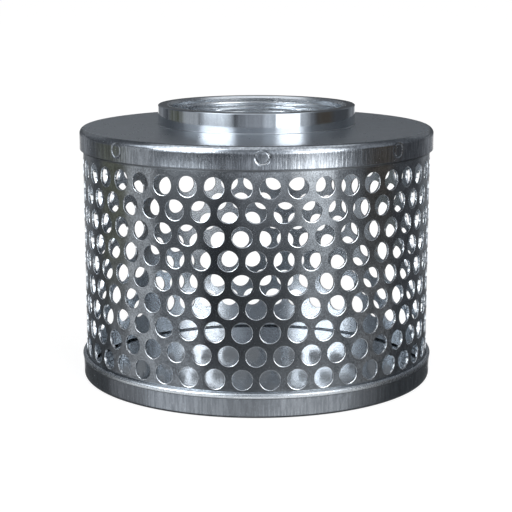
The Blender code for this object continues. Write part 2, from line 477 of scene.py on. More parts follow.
@dataclass
class Cap:
    """The pressed cap: a crowned plate with the neck's hole, a rounded edge and a skirt with spot dimples.

    Attributes:
        sizes: Sizes of the strainer.
        thickness: Thickness of its sheet.
        ease: Room between the pressed skirt and the drum beyond the clearance.
        bend: Inner radius of the rounded edge.
        crown: Height of the plate's middle over its edge.
        skirt: Depth of the skirt.
        tuck: Slope with which the skirt draws in under the rounded edge.
        spread: Slope with which it opens at its foot.
        lip: Radius of the skirt's lower outer edge.
        plate_hole: Radius of the hole for the neck.
        seat: Radius of the flat seat under the neck.
        dimples: Number of spot dimples.
        dimple_drop: Height of the dimples' middles below the drum's top edge.
        dimple_angle: Angle of the front dimple.
        dimple_left_step: Angle between the front dimple and the next on its left.
        dimple_right_step: Angle between the front dimple and the next on its right.
        groove: Radius of the middle of the ring that the spot tool presses.
        groove_width: Width of that ring.
        groove_depth: Depth of that ring.
        floor_depth: Depth of the disc inside the ring.
    """

    sizes: Strainer
    thickness: float = 0.9 * MM
    ease: float = 0.35 * MM
    bend: float = 2.1 * MM
    crown: float = 1.0 * MM
    skirt: float = 7.4 * MM
    tuck: float = math.radians(1.1)
    spread: float = math.radians(1.0)
    lip: float = 0.08 * MM
    plate_hole: float = 45.8 * MM
    seat: float = 49.5 * MM
    dimples: int = 8
    dimple_drop: float = 2.2 * MM
    dimple_angle: float = math.radians(1.8)
    dimple_left_step: float = math.radians(49.2)
    dimple_right_step: float = math.radians(46.3)
    groove: float = 3.05 * MM
    groove_width: float = 0.95 * MM
    groove_depth: float = 0.33 * MM
    floor_depth: float = 0.16 * MM

    @property
    def skirt_top_radius(self) -> float:
        """Outer radius of the skirt where it leaves the rounded edge."""
        return self.sizes.radius + self.sizes.clearance + self.ease + self.thickness

    @property
    def skirt_foot(self) -> float:
        """Height of the skirt's lower edge."""
        return self.sizes.drum_top - self.skirt

    @property
    def edge_round(self) -> float:
        """Outer radius of the rounded edge."""
        return self.bend + self.thickness

    @property
    def plate_z(self) -> float:
        """Height of the plate's seat."""
        return self.sizes.drum_top + self.edge_round + self.crown

    def places(self) -> list[float]:
        """Give the dimples' angles: the three of the front, and the others evenly round the back."""
        middle = self.dimple_angle
        angles = [middle - self.dimple_left_step, middle, middle + self.dimple_right_step]
        back = self.dimples - len(angles)
        step = (FULL_TURN - self.dimple_left_step - self.dimple_right_step) / (back + 1)
        for place in range(1, back + 1):
            angles.append(middle + self.dimple_right_step + step * place)
        return angles

    def columns(self) -> list[float]:
        """Give the angles of the turned columns, which lie closer together at the dimples."""
        reach = (self.groove + self.groove_width) * 1.15 / self.skirt_top_radius
        fine = 26
        centres = sorted(angle % FULL_TURN for angle in self.places())
        angles: list[float] = []
        for index, centre in enumerate(centres):
            following = centres[(index + 1) % len(centres)]
            if following <= centre:
                following += FULL_TURN
            for step in range(fine):
                angles.append(centre - reach + 2 * reach * step / fine)
            span = following - centre - 2 * reach
            coarse = max(8, round(span / math.radians(1.5)))
            for step in range(coarse):
                angles.append(centre + reach + span * step / coarse)
        return angles

    def dimple_depth(self, radius: float, angle: float, height: float) -> float:
        """Give how deep a point of the skirt's outer side is pressed in by the nearest dimple."""
        middle = self.sizes.drum_top - self.dimple_drop
        nearest = min(abs((angle - place + math.pi) % FULL_TURN - math.pi) for place in self.places())
        distance = math.hypot(nearest * radius, height - middle)
        half = self.groove_width / 2
        offset = (distance - self.groove) / half
        ring = self.groove_depth * math.exp(-1.6 * offset * offset)
        floor = self.floor_depth / (1 + math.exp((distance - self.groove) / (0.18 * self.groove_width)))
        return max(ring, floor)

    def build(self) -> bpy.types.Object:
        """Make the cap's mesh piece.

        Returns:
            The piece, without a finish.
        """
        top = self.sizes.drum_top
        edge_centre = (self.skirt_top_radius - self.edge_round, top)
        slope = math.atan2(self.crown, edge_centre[0] - self.seat)
        start = 90 - math.degrees(slope)
        outer: list[Point] = [(self.plate_hole, self.plate_z), (self.seat, self.plate_z)]
        rim = arc(edge_centre, self.edge_round, start, 0, 14)
        for step in range(1, 10):
            share = step / 10
            outer.append(
                (
                    self.seat + (rim[0][0] - self.seat) * share,
                    self.plate_z + (rim[0][1] - self.plate_z) * share,
                )
            )
        outer += rim
        foot = self.skirt_foot
        lip = self.lip
        outer_skirt = len(outer)
        rows = 30
        for step in range(1, rows + 1):
            share = step / rows * (1 - lip / self.skirt)
            opening = self.skirt * share * ((self.spread + self.tuck) * share / 2 - self.tuck)
            outer.append((self.skirt_top_radius + opening, top - self.skirt * share))
        skirt_end = len(outer)
        edge = outer[-1][0]
        outer += arc((edge - lip, foot + lip), lip, 0, -90, 5)[1:]
        inner: list[Point] = [(edge - self.thickness, foot), (self.skirt_top_radius - self.thickness, top)]
        inner += arc(edge_centre, self.bend, 0, start, 6)[1:]
        inner += [(self.seat, self.plate_z - self.thickness), (self.plate_hole, self.plate_z - self.thickness)]

        def press(index: int, radius: float, angle: float, height: float) -> tuple[float, float]:
            """Sink the skirt's points at the dimples."""
            if outer_skirt - 6 <= index < skirt_end:
                return radius - self.dimple_depth(radius, angle, height), height
            return radius, height

        points, faces = Turning(outer + inner, self.columns(), press).mesh()
        cap = make_piece("cap", points, faces, 40)
        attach(cap, "root")
        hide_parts("top_cap")
        return cap


@dataclass
class Pan:
    """The pressed pan: a flat floor, an upright band and a bead curled over the drum's foot.

    Attributes:
        sizes: Sizes of the strainer.
        thickness: Thickness of its sheet.
        bend: Inner radius of the lower corner.
        bead_height: Height of the bead's middle.
        bead_bend: Inner radius of the bead.
        bead_step: How far the band lies inside the bead.
        lip_angle: Angle at which the bead's lip ends, in degrees.
        taper: How far the band narrows downwards.
        columns: Number of turned columns.
    """

    sizes: Strainer
    thickness: float = 0.7 * MM
    bend: float = 0.4 * MM
    bead_height: float = 10.6 * MM
    bead_bend: float = 0.5 * MM
    bead_step: float = 0.3 * MM
    lip_angle: float = 130.0
    taper: float = 0.3 * MM
    columns: int = 288

    @property
    def bead_radius(self) -> float:
        """Outer radius of the bead."""
        return self.sizes.foot_radius + self.sizes.clearance + self.thickness

    @property
    def bead_foot(self) -> float:
        """Height at which the bead begins."""
        return self.bead_height - self.bead_bend - self.thickness

    @property
    def inner_wall(self) -> float:
        """Inner radius of the band at its top."""
        return self.bead_radius - self.bead_step - self.thickness

    def build(self) -> bpy.types.Object:
        """Make the pan's mesh piece.

        Returns:
            The piece, without a finish.
        """
        bead_round = self.bead_bend + self.thickness
        bead_centre = (self.bead_radius - bead_round, self.bead_height)
        band_top = self.bead_radius - self.bead_step
        corner_round = self.bend + self.thickness
        bead_end = -math.degrees(math.acos((bead_round - self.bead_step) / bead_round))
        corner_centre = (band_top - self.taper - corner_round, corner_round)
        bead = arc(bead_centre, bead_round, self.lip_angle, bead_end, 20)
        corner = arc(corner_centre, corner_round, 0, -90, 8)
        outer = bead + straight(bead[-1], corner[0], 3) + corner
        outer += straight(corner[-1], (0.0, 0.0), 4) + [(0.0, 0.0)]
        corner = arc(corner_centre, self.bend, -90, 0, 4)
        bead = arc(bead_centre, self.bead_bend, bead_end, self.lip_angle, 10)
        inner: list[Point] = [(0.0, self.thickness)]
        inner += straight(inner[0], corner[0], 4) + corner + straight(corner[-1], bead[0], 3) + bead
        points, faces = Turning(outer + inner, even_angles(self.columns)).mesh()
        pan = make_piece("pan", points, faces, 40)
        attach(pan, "root")
        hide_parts("bottom_pan")
        return pan


@dataclass
class Neck:
    """The turned neck: a chamfered rim, a bore with its pipe thread, and a rolled lower end.

    Attributes:
        cap: The cap that it stands on.
        bore: Minor diameter of the thread.
        body: Diameter of the body.
        rise: Height of the rim over the solid's shoulder.
        rim_chamfer: Chamfer of the rim's outer edge.
        edge_round: Radius that softens the chamfer's edges.
        fillet: Radius of the hollow where it meets the plate.
        chamfer: Chamfer of the bore at the rim.
        spigot: Diameter of the part that goes down through the plate.
        roll: Diameter of the rolled lower end.
        roll_thickness: Height of the rolled lower end.
        thread_pitch: Distance between two turns of the thread.
        thread_depth: Depth of the thread.
        plain: Plain length of the bore below the rim.
        columns: Number of turned columns.
    """

    cap: Cap
    bore: float = 85.0 * MM
    body: float = 97.5 * MM
    rise: float = 9.3 * MM
    rim_chamfer: float = 0.3 * MM
    edge_round: float = 0.1 * MM
    fillet: float = 0.3 * MM
    chamfer: float = 1.0 * MM
    spigot: float = 91.0 * MM
    roll: float = 96.0 * MM
    roll_thickness: float = 1.8 * MM
    thread_pitch: float = 25.4 / 11 * MM
    thread_depth: float = 1.4 * MM
    plain: float = 1.6 * MM
    columns: int = 240

    @property
    def thread_root(self) -> float:
        """Radius of the thread's root."""
        return self.bore / 2 + self.thread_depth

    @property
    def rim_z(self) -> float:
        """Height of the flat rim."""
        return self.cap.plate_z + self.cap.sizes.clearance + self.rise

    def build(self) -> bpy.types.Object:
        """Make the neck's mesh piece.

        Returns:
            The piece, without a finish.
        """
        gap = self.cap.sizes.clearance
        foot_z = self.cap.plate_z + 0.01 * MM
        rim_z = self.rim_z
        roll_top = self.cap.plate_z - self.cap.thickness - gap
        roll_foot = roll_top - self.roll_thickness
        bore = self.bore / 2
        body = self.body / 2
        flat_edge = body - self.rim_chamfer
        outer: list[Point] = [(bore + self.chamfer, rim_z), (flat_edge - 0.2 * MM, rim_z)]
        outer += arc((flat_edge - self.edge_round, rim_z - self.edge_round), self.edge_round, 90, 45, 2)
        chamfer_foot = rim_z - self.rim_chamfer
        outer += arc((body - self.edge_round, chamfer_foot - self.edge_round), self.edge_round, 45, 0, 2)
        hollow = arc((body + self.fillet, foot_z + self.fillet), self.fillet, 180, 270, 4)
        outer += straight(outer[-1], hollow[0], 4) + hollow
        outer += [(self.spigot / 2, foot_z), (self.spigot / 2, roll_top)]
        outer += arc((self.roll / 2 - 0.5 * MM, roll_top - 0.5 * MM), 0.5 * MM, 90, 0, 3)
        outer += arc((self.roll / 2 - 0.8 * MM, roll_foot + 0.8 * MM), 0.8 * MM, 0, -90, 4)
        bore_start = len(outer)
        rows = 64
        bore_top = rim_z - self.chamfer
        wall = [(bore, roll_foot + (bore_top - roll_foot) * row / rows) for row in range(rows + 1)]

        def thread(index: int, radius: float, angle: float, height: float) -> tuple[float, float]:
            """Cut the thread's helix into the bore."""
            if index <= bore_start or index >= bore_start + rows:
                return radius, height
            turns = (height - roll_foot) / self.thread_pitch + angle / FULL_TURN
            wave = abs((turns % 1.0) - 0.5) * 2
            flank = min(1.0, max(0.0, (wave - 0.12) / 0.76))
            below_rim = min(1.0, max(0.0, (bore_top - height - self.plain) / self.thread_pitch))
            above_foot = min(1.0, max(0.0, (height - roll_foot) / self.thread_pitch))
            return radius + self.thread_depth * flank * below_rim * above_foot, height

        points, faces = Turning(outer + wall, even_angles(self.columns), thread).mesh()
        neck = make_piece("neck", points, faces, 38)
        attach(neck, "root")
        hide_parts("threaded_neck")
        return neck


# Node helpers


@dataclass
class Shade:
    """A node tree with short ways to add and link its nodes."""

    tree: bpy.types.NodeTree

    def node(self, kind: str, **values: object) -> bpy.types.Node:
        """Add a node and set its properties.

        Args:
            kind: Blender's name of the node's type.
            values: Properties of the node by name.

        Returns:
            The node.
        """
        node = self.tree.nodes.new(kind)
        for name, value in values.items():
            setattr(node, name, value)
        return node

    def feed(self, target: Socket, value: object) -> None:
        """Link a socket to the target, or set the target's value."""
        if isinstance(value, bpy.types.NodeSocket):
            self.tree.links.new(value, target)
        else:
            target.default_value = value

    def math(self, operation: str, *values: object) -> Socket:
        """Add a Math node and give its output."""
        node = self.node("ShaderNodeMath", operation=operation)
        for target, value in zip(node.inputs, values):
            self.feed(target, value)
        return node.outputs[0]

    def spread(self, value: object, low: float, high: float, to_low: float = 0.0, to_high: float = 1.0) -> Socket:
        """Add a smooth Map Range node, clamped, and give its output."""
        node = self.node("ShaderNodeMapRange", interpolation_type="SMOOTHSTEP")
        for target, given in zip(node.inputs, (value, low, high, to_low, to_high)):
            self.feed(target, given)
        return node.outputs[0]

    def mix(self, share: object, first: object, second: object) -> Socket:
        """Add a colour Mix node and give its output."""
        node = self.node("ShaderNodeMix", data_type="RGBA")
        self.feed(node.inputs[0], share)
        self.feed(node.inputs[6], first)
        self.feed(node.inputs[7], second)
        return node.outputs[2]

    def noise(self, vector: Socket, scale: float, detail: float = 3.0, roughness: float = 0.5) -> Socket:
        """Add a Noise Texture and give its value."""
        node = self.node("ShaderNodeTexNoise")
        self.feed(node.inputs["Vector"], vector)
        node.inputs["Scale"].default_value = scale
        node.inputs["Detail"].default_value = detail
        node.inputs["Roughness"].default_value = roughness
        return node.outputs["Fac"]

    def blend(self, share: object, first: object, second: object) -> Socket:
        """Add a number Mix node and give its output."""
        node = self.node("ShaderNodeMix", data_type="FLOAT")
        self.feed(node.inputs[0], share)
        self.feed(node.inputs[2], first)
        self.feed(node.inputs[3], second)
        return node.outputs[0]

    def measure(self, kind: Measure) -> Socket:
        """Give a place's height over the floor or its distance from the axis."""
        place = self.node("ShaderNodeSeparateXYZ")
        self.feed(place.inputs[0], self.node("ShaderNodeTexCoord").outputs["Object"])
        if kind is Measure.HEIGHT:
            return place.outputs[2]
        squares = [self.math("MULTIPLY", part, part) for part in place.outputs[:2]]
        return self.math("SQRT", self.math("ADD", *squares))


def new_group(name: str, inputs: dict[str, float], outputs: list[str]) -> tuple[bpy.types.NodeTree, Shade]:
    """Make an empty shader node group.

    Args:
        name: Name of the group.
        inputs: Its value inputs, with what each is when nothing is given.
        outputs: Its value outputs.

    Returns:
        The group, and a helper for its nodes.
    """
    group = bpy.data.node_groups.new(name, "ShaderNodeTree")
    for label, value in inputs.items():
        socket = group.interface.new_socket(label, in_out="INPUT", socket_type="NodeSocketFloat")
        socket.default_value = value
    for label in outputs:
        group.interface.new_socket(label, in_out="OUTPUT", socket_type="NodeSocketFloat")
    return group, Shade(group)


def upright_marks_group() -> bpy.types.NodeTree:
    """Make the group of upright rolling marks on a round wall.

    Returns:
        A group with the inputs Fineness, in marks a metre, and Length, the same along the axis. Its outputs are
        Mark, from dull to bright, and Relief.
    """
    group, shade = new_group("upright_marks", {"Fineness": 1300.0, "Length": 60.0}, ["Mark", "Relief"])
    start = shade.node("NodeGroupInput")
    end = shade.node("NodeGroupOutput")
    place = shade.node("ShaderNodeSeparateXYZ")
    shade.feed(place.inputs[0], shade.node("ShaderNodeTexCoord").outputs["Object"])
    lanes = []
    for factor, detail in ((1.0, 2.0), (0.31, 3.0)):
        spread = shade.node("ShaderNodeCombineXYZ")
        fine = shade.math("MULTIPLY", start.outputs["Fineness"], factor)
        shade.feed(spread.inputs[0], shade.math("MULTIPLY", place.outputs[0], fine))
        shade.feed(spread.inputs[1], shade.math("MULTIPLY", place.outputs[1], fine))
        shade.feed(spread.inputs[2], shade.math("MULTIPLY", place.outputs[2], start.outputs["Length"]))
        lanes.append(shade.noise(spread.outputs[0], 1.0, detail, 0.6))
    relief = shade.math("ADD", shade.math("MULTIPLY", lanes[0], 0.55), shade.math("MULTIPLY", lanes[1], 0.45))
    shade.feed(end.inputs["Relief"], relief)
    shade.feed(end.inputs["Mark"], shade.spread(relief, 0.40, 0.60))
    return group


def mottle_group() -> bpy.types.NodeTree:
    """Make the group of the zinc's fine mottling.

    Returns:
        A group with the input Grain, in spots a metre. Its outputs are Spot, for the small spots, Cloud, for the
        slow change between them, and Relief.
    """
    group, shade = new_group("zinc_mottle", {"Grain": 1100.0}, ["Spot", "Cloud", "Relief"])
    start = shade.node("NodeGroupInput")
    end = shade.node("NodeGroupOutput")
    place = shade.node("ShaderNodeTexCoord").outputs["Object"]
    spots = shade.node("ShaderNodeTexNoise")
    shade.feed(spots.inputs["Vector"], place)
    shade.feed(spots.inputs["Scale"], start.outputs["Grain"])
    spots.inputs["Detail"].default_value = 2.5
    spots.inputs["Roughness"].default_value = 0.6
    clouds = shade.node("ShaderNodeTexNoise")
    shade.feed(clouds.inputs["Vector"], place)
    shade.feed(clouds.inputs["Scale"], shade.math("MULTIPLY", start.outputs["Grain"], 0.11))
    clouds.inputs["Detail"].default_value = 3.0
    shade.feed(end.inputs["Spot"], shade.spread(spots.outputs["Fac"], 0.34, 0.66))
    shade.feed(end.inputs["Cloud"], shade.spread(clouds.outputs["Fac"], 0.32, 0.68))
    relief = shade.math("ADD", spots.outputs["Fac"], shade.math("MULTIPLY", clouds.outputs["Fac"], 1.5))
    shade.feed(end.inputs["Relief"], relief)
    return group


@dataclass
class Workshop:
    """The shader node groups that the zinc finishes share, each built once."""

    marks: bpy.types.NodeTree = field(default_factory=upright_marks_group)
    mottle: bpy.types.NodeTree = field(default_factory=mottle_group)


@dataclass(frozen=True)
class Area:
    """An area of a piece whose plating differs from the rest, or where painted shade or a painted highlight lies.

    Attributes:
        measure: What tells the area from the rest.
        start: Measure at which it begins.
        full: Measure from which it is full, on the area's own side.
        pale: Colour of its plating where it is thick and bright.
        deep: Its colour in the spots.
        smooth: Roughness of its bright plating.
        dull: Roughness of its spots.
        relief: Share of the relief that it has.
    """

    measure: Measure
    start: float
    full: float
    pale: Colour
    deep: Colour
    smooth: float
    dull: float
    relief: float = 1.0


@dataclass(frozen=True)
class Zinc:
    """A zinc-plated finish.

    Attributes:
        name: Name of the material.
        pale: Colour of the plating where it is thick and bright.
        deep: Its colour in the spots and marks.
        smooth: Roughness of the bright plating.
        dull: Roughness of the spots and marks.
        grain: Spots a metre.
        grain_depth: Depth of the mottled relief.
        areas: Areas whose plating differs, and areas of painted shade or painted highlight.
        marks_line: Height of the line below which the upright marks are.
        fineness: Marks a metre round the wall.
        length: Marks a metre up the wall.
        marks_depth: Depth of the marks, or none where there are no marks.
    """

    name: str
    pale: Colour
    deep: Colour
    smooth: float
    dull: float
    grain: float
    grain_depth: float
    areas: tuple[Area, ...] = ()
    marks_line: float = 0.0
    fineness: float = 1300.0
    length: float = 60.0
    marks_depth: float | None = None

    def dress(self, piece: bpy.types.Object, workshop: Workshop) -> None:
        """Give a piece this finish.

        Args:
            piece: The piece.
            workshop: The node groups.
        """
        material = bpy.data.materials.new(self.name)
        material.use_nodes = True
        shade = Shade(material.node_tree)
        shader = material.node_tree.nodes["Principled BSDF"]
        shader.inputs["Metallic"].default_value = 1.0
        mottle = shade.node("ShaderNodeGroup", node_tree=workshop.mottle)
        mottle.inputs["Grain"].default_value = self.grain
        spot = mottle.outputs["Spot"]
        cloud = mottle.outputs["Cloud"]
        worn = shade.math("ADD", shade.math("MULTIPLY", spot, 0.6), shade.math("MULTIPLY", cloud, 0.4))
        height = shade.math("MULTIPLY", mottle.outputs["Relief"], self.grain_depth)
        if self.marks_depth is not None:
            marks = shade.node("ShaderNodeGroup", node_tree=workshop.marks)
            marks.inputs["Fineness"].default_value = self.fineness
            marks.inputs["Length"].default_value = self.length
            line = self.marks_line
            where = shade.spread(shade.measure(Measure.HEIGHT), line - 1.5 * MM, line, 1.0, 0.0)
            share = shade.math("MULTIPLY", where, 0.7)
            worn = shade.blend(share, worn, marks.outputs["Mark"])
            cut = shade.math("MULTIPLY", marks.outputs["Relief"], self.marks_depth)
            height = shade.math("ADD", height, shade.math("MULTIPLY", cut, where))
        colour = shade.mix(worn, (*self.deep, 1.0), (*self.pale, 1.0))
        rough = shade.blend(worn, self.dull, self.smooth)
        for area in self.areas:
            share = shade.spread(shade.measure(area.measure), area.start, area.full)
            colour = shade.mix(share, colour, shade.mix(worn, (*area.deep, 1.0), (*area.pale, 1.0)))
            rough = shade.blend(share, rough, shade.blend(worn, area.dull, area.smooth))
            if area.relief < 1.0:
                height = shade.math("MULTIPLY", height, shade.blend(share, 1.0, area.relief))
        shade.feed(shader.inputs["Base Color"], colour)
        shade.feed(shader.inputs["Roughness"], rough)
        bump = shade.node("ShaderNodeBump")
        bump.inputs["Strength"].default_value = 1.0
        bump.inputs["Distance"].default_value = 1.0
        shade.feed(bump.inputs["Height"], height)
        shade.feed(shader.inputs["Normal"], bump.outputs["Normal"])
        piece.data.materials.clear()
        piece.data.materials.append(material)


@dataclass(frozen=True)
class Zone:
    """A soft-edged part of the surroundings that polished metal shows.

    Attributes:
        azimuth: Direction of its middle from the front towards +X, in degrees.
        half_width: Half its width, in degrees.
        side_edge: Half the width of its soft sides, in degrees.
        low: Elevation of its lower edge, in degrees.
        high: Elevation of its upper edge, in degrees.
        rim: Half the height of its soft lower and upper edges, in degrees.
        light: Colour and strength that it has.
        covers: Whether it takes the place of what lies there, and isn't added to it.
    """

    azimuth: float
    half_width: float
    side_edge: float
    low: float
    high: float
    rim: float
    light: Colour
    covers: bool = False


@dataclass(frozen=True)
class SoftBox:
    """A large soft lamp that points at the object.

    Attributes:
        name: Name of the lamp.
        azimuth: Direction of its middle from the front towards +X, in degrees.
        half_width: Half its width as the object sees it, in degrees.
        low: Elevation of its lower edge, in degrees.
        high: Elevation of its upper edge, in degrees.
        level: Radiance of its face, where 1 is that of a white background.
    """

    name: str
    azimuth: float
    half_width: float
    low: float
    high: float
    level: float

    def build(self, target: Vector, distance: float) -> None:
        """Add the lamp.

        Args:
            target: The point that it faces.
            distance: How far from it the lamp stands.
        """
        tilt = math.radians((self.low + self.high) / 2)
        turn = math.radians(self.azimuth)
        way = Vector((math.sin(turn) * math.cos(tilt), -math.cos(turn) * math.cos(tilt), math.sin(tilt)))
        data = bpy.data.lights.new(self.name, "AREA")
        data.shape = "RECTANGLE"
        data.size = 2 * distance * math.tan(math.radians(self.half_width))
        data.size_y = 2 * distance * math.tan(math.radians((self.high - self.low) / 2))
        data.energy = self.level * 4 * data.size * data.size_y
        lamp = bpy.data.objects.new(self.name, data)
        lamp.location = target + way * distance
        lamp.rotation_euler = (math.pi / 2 - tilt, 0.0, turn)
        lamp.visible_camera = False
        lamp.visible_glossy = False
        bpy.context.scene.collection.objects.link(lamp)


@dataclass
class Studio:
    """The camera, the floor, the surroundings and the lamps.

    Attributes:
        focal: Focal length of the lens, in millimetres.
        camera: Place of the camera.
        pitch: How far the camera looks down, in radians.
        room_level: Strength with which the surroundings light what isn't polished.
        shadow_share: Share of the floor's paleness that the lamps give, which keeps the shadow.
        contact_radius: Radius of the floor's shaded part under the pan, which polished metal shows.
        lamp_distance: Distance of the lamps.
    """

    focal: float = 103.379
    camera: tuple[float, float, float] = (-0.242 * MM, -729.4 * MM, 203.7 * MM)
    pitch: float = 0.1971
    room_level: float = 0.6
    shadow_share: float = 0.33
    contact_radius: float = 90.5 * MM
    lamp_distance: float = 2.5

    def add_camera(self) -> None:
        """Add the camera that takes the photograph's view."""
        data = bpy.data.cameras.new("camera")
        data.lens = self.focal
        data.sensor_width = 36.0
        data.clip_start = 0.01
        data.clip_end = 100.0
        camera = bpy.data.objects.new("camera", data)
        camera.location = self.camera
        camera.rotation_euler = (math.pi / 2 - self.pitch, 0.0, 0.0)
        bpy.context.scene.collection.objects.link(camera)
        bpy.context.scene.camera = camera

    def zones(self) -> list[Zone]:
        """Give the zones of the surroundings, those that cover others after them."""
        return [
            # The left table and the floor in front of it
            Zone(-81, 11, 5, -15.5, 8, 2, (0.47, 0.48, 0.49)),
            Zone(-57, 17, 9, -24, -12.5, 2.5, (0.27, 0.28, 0.295)),
            Zone(-106, 12, 8, -12, -5, 2, (0.08, 0.08, 0.03)),
            # The front of the room
            Zone(2, 19, 8, -9.5, 14, 2.5, (0.27, 0.28, 0.30)),
            Zone(0, 40, 10, 1, 20, 3, (0.14, 0.145, 0.155)),
            # The dark gaps under the tables
            Zone(-22, 10, 7, -16.3, -7.8, 0.8, (0.03, 0.034, 0.04), covers=True),
            Zone(-4, 20, 8, -16.3, -12, 2, (0.06, 0.065, 0.07), covers=True),
            # The floor in front
            Zone(-52, 24, 18, -24, -16.6, 0.8, (0.26, 0.27, 0.28)),
            Zone(36, 26, 12, -24, -16.6, 0.8, (0.46, 0.47, 0.48)),
            Zone(-8, 22, 12, -24, -16.6, 0.8, (0.20, 0.21, 0.22)),
            Zone(-98, 12, 7, -20, -11.5, 1.5, (0.18, 0.18, 0.185)),
            Zone(84, 14, 8, -19, -11.5, 1.5, (0.14, 0.135, 0.13)),
            # The light that the table tops throw back under the lamps
            Zone(-6, 22, 9, -8.2, -6.8, 0.5, (0.33, 0.34, 0.36)),
            Zone(26, 14, 8, -7.9, -6.8, 0.5, (0.40, 0.41, 0.42)),
            Zone(-44, 16, 8, -7.9, -6.8, 0.5, (0.30, 0.31, 0.32)),
            # The right table, which shines under its lamp
            Zone(40, 8, 7, -11.5, 0, 3.5, (0.72, 0.75, 0.78)),
            Zone(50, 20, 10, -16.5, -7, 2, (0.14, 0.145, 0.15)),
            # The soft light round the two lamps, stronger overhead
            Zone(-47, 13, 10, -6.2, 62, 1.3, (2.0, 2.1, 2.2)),
            Zone(-47, 20, 5, 11, 18, 1.5, (8.0, 8.1, 8.2)),
            Zone(-56, 31, 9, 19, 64, 4, (1.8, 1.9, 2.0)),
            Zone(36.5, 14.2, 1.2, -7.4, 10, 0.8, (2.6, 2.6, 2.6)),
            Zone(41, 14, 3, 11, 18, 1.5, (8.0, 8.0, 8.0)),
            Zone(53, 9, 5, 22, 56, 4, (0.6, 0.6, 0.6)),
            Zone(36.5, 14, 3, 10, 54, 4, (1.7, 1.7, 1.7)),
            Zone(18, 7, 6, -7.4, 45, 1.2, (0.50, 0.53, 0.56)),
            Zone(54, 7, 6, -7.4, 56, 1.2, (0.55, 0.57, 0.60)),
            # The dark corners at the sides, the right one warm
            Zone(88, 12, 8, -10, 8, 3, (0.11, 0.095, 0.08), covers=True),
            Zone(120, 18, 10, -12, 3, 2, (0.10, 0.105, 0.115), covers=True),
            Zone(134, 46, 12, -95, -15, 2, (0.07, 0.075, 0.08), covers=True),
            Zone(-142, 28, 10, -95, -15, 2, (0.08, 0.085, 0.09), covers=True),
            # The plain wall that the plate shows behind, and the white backdrop at its foot
            Zone(180, 44, 6, -12, 4.5, 1.5, (0.11, 0.115, 0.12)),
            Zone(180, 26, 8, -4, 60, 1, (0.09, 0.097, 0.107), covers=True),
            Zone(-170, 6, 5, -4, 60, 1, (0.03, 0.032, 0.034)),
            Zone(180, 40, 20, 9, 30, 3, (0.12, 0.125, 0.13)),
            Zone(180, 16, 4, -95, -4.5, 0.8, (1.0, 1.0, 1.0), covers=True),
        ]

    def add_world(self) -> None:
        """Add the world: white to the camera, plain to rough surfaces, and a studio to polished metal."""
        world = bpy.data.worlds.new("studio")
        world.use_nodes = True
        tree = world.node_tree
        tree.nodes.clear()
        shade = Shade(tree)
        way = shade.node("ShaderNodeTexCoord").outputs["Generated"]
        parts = shade.node("ShaderNodeSeparateXYZ")
        shade.feed(parts.inputs[0], way)
        x, y, z = parts.outputs
        flat = shade.math("SQRT", shade.math("ADD", shade.math("MULTIPLY", x, x), shade.math("MULTIPLY", y, y)))
        flat = shade.math("MAXIMUM", flat, 0.0001)
        near_floor = shade.mix(shade.spread(z, -0.44, -0.38), (1.5, 1.5, 1.5, 1), (0.13, 0.135, 0.145, 1))
        far_floor = shade.mix(shade.spread(z, -0.29, -0.26), near_floor, (0.11, 0.116, 0.125, 1))
        behind = shade.spread(y, -0.2, 0.5)
        ceiling = shade.mix(behind, (0.38, 0.40, 0.43, 1), (0.14, 0.15, 0.165, 1))
        stripes = shade.node("ShaderNodeCombineXYZ")
        shade.feed(stripes.inputs[0], shade.math("DIVIDE", x, flat))
        shade.feed(stripes.inputs[1], shade.math("DIVIDE", y, flat))
        shade.feed(stripes.inputs[2], shade.math("MULTIPLY", z, 0.4))
        shelf = shade.spread(shade.noise(stripes.outputs[0], 13.0, 3.0, 0.7), 0.38, 0.62)
        wall = shade.mix(shelf, (0.07, 0.075, 0.083, 1), (0.24, 0.25, 0.27, 1))
        overhead = shade.mix(shade.spread(z, 0.75, 0.9), ceiling, (1.1, 1.13, 1.17, 1))
        room_tone = shade.mix(shade.spread(z, 0.1, 0.3), wall, overhead)
        tone = shade.mix(shade.spread(z, -0.14, -0.12), far_floor, room_tone)
        for zone in self.zones():
            tone = self.add_zone(shade, tone, zone, x, y, z, flat)
        path = shade.node("ShaderNodeLightPath")
        polished = shade.math("MAXIMUM", path.outputs["Is Glossy Ray"], path.outputs["Is Transmission Ray"])
        level = self.room_level
        rough = shade.mix(path.outputs["Is Camera Ray"], (level, level, level, 1), (1, 1, 1, 1))
        background = shade.node("ShaderNodeBackground")
        shade.feed(background.inputs["Color"], shade.mix(polished, rough, tone))
        output = shade.node("ShaderNodeOutputWorld")
        shade.feed(output.inputs["Surface"], background.outputs[0])
        world.cycles.sampling_method = "NONE"
        bpy.context.scene.world = world

